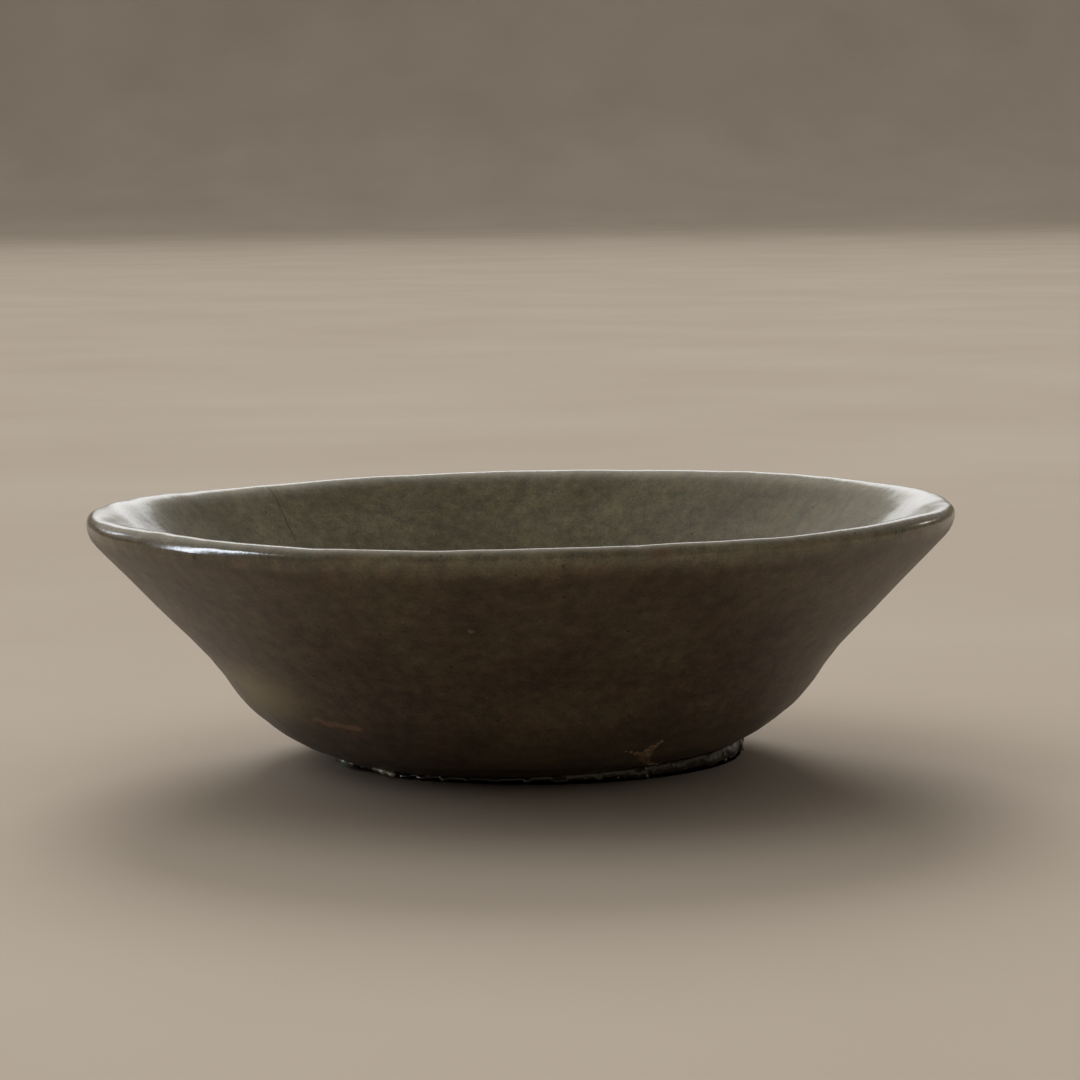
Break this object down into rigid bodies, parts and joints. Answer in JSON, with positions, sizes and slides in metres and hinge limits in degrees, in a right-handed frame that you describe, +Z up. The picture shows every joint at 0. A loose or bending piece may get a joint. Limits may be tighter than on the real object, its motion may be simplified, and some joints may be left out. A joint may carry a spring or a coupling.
{
  "type": "shallow ceramic bowl",
  "caption": "Shallow round stoneware bowl with flaring wall, thick rounded lip, low foot ring and celadon glaze.",
  "frame": {"origin": "on the axis of the rim, level with the table that the foot ring stands on", "axes": "+Z up; +X towards the side where the rim stands slightly higher and the foot ring steps out; -Y towards the viewer"},
  "size_m": [0.14, 0.14, 0.041],
  "materials": {
    "stoneware": "unglazed, fine sandy",
    "celadon_glaze": "glossy olive grey-green ash glaze",
    "fireclay": "rough, crumbly",
    "quartz_grit": "pale grains, half melted in"
  },
  "bodies": {
    "root": {"clay_body": "stoneware", "foot_ring": "stoneware", "inner_glaze": "celadon_glaze", "outer_glaze": "celadon_glaze", "fireclay_wad": "fireclay", "glaze_drip_1": "celadon_glaze", "glaze_drip_2": "celadon_glaze", "glaze_drip_3": "celadon_glaze", "glaze_drip_4": "celadon_glaze", "glaze_drip_5": "celadon_glaze", "glaze_drip_6": "celadon_glaze", "glaze_drip_7": "celadon_glaze", "glaze_drip_8": "celadon_glaze", "kiln_grit": "quartz_grit"}
  },
  "joints": []
}
